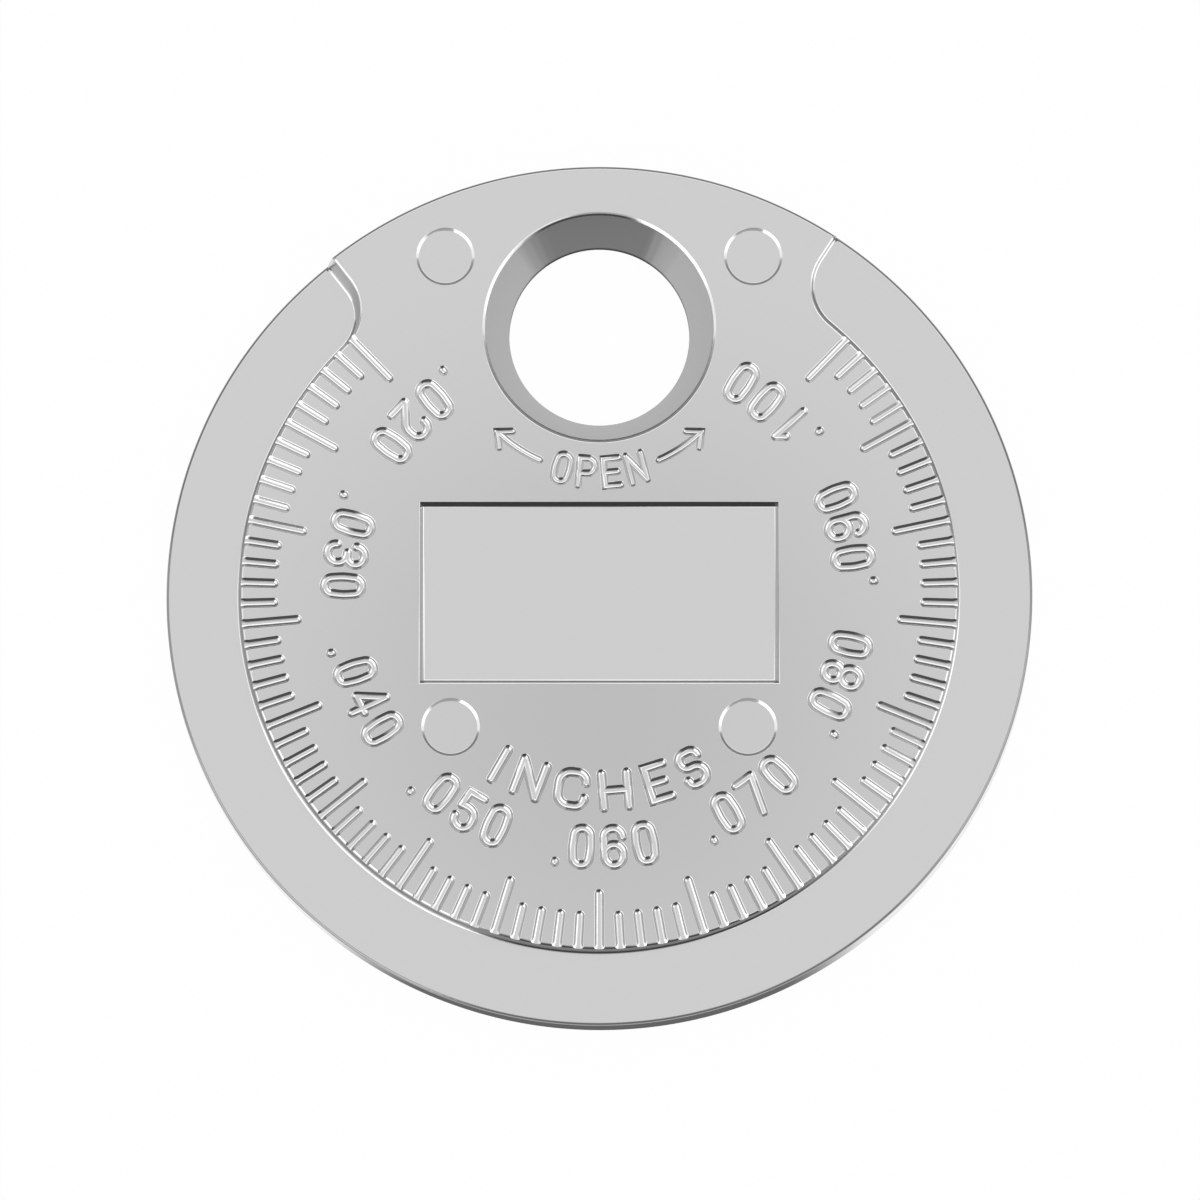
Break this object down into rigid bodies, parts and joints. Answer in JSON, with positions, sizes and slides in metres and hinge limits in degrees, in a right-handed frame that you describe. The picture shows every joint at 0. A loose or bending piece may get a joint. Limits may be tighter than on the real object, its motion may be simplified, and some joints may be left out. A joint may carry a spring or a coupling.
{
  "type": "spark plug gap gauge",
  "caption": "Round coin-shaped gauge: a rim that thickens along an engraved scale, a raised hub on both faces and a tapered hole.",
  "frame": {"origin": "middle of the disc, on the millimetre face that it lies on", "axes": "+Z out of the inch face, +Y towards the tapered hole, +X to the right when the inch face is read"},
  "size_m": [0.035, 0.035, 0.003],
  "materials": {
    "plated_casting": "satin plating over a zinc die casting"
  },
  "bodies": {
    "root": {"gauge_disc": "plated_casting"}
  },
  "joints": []
}
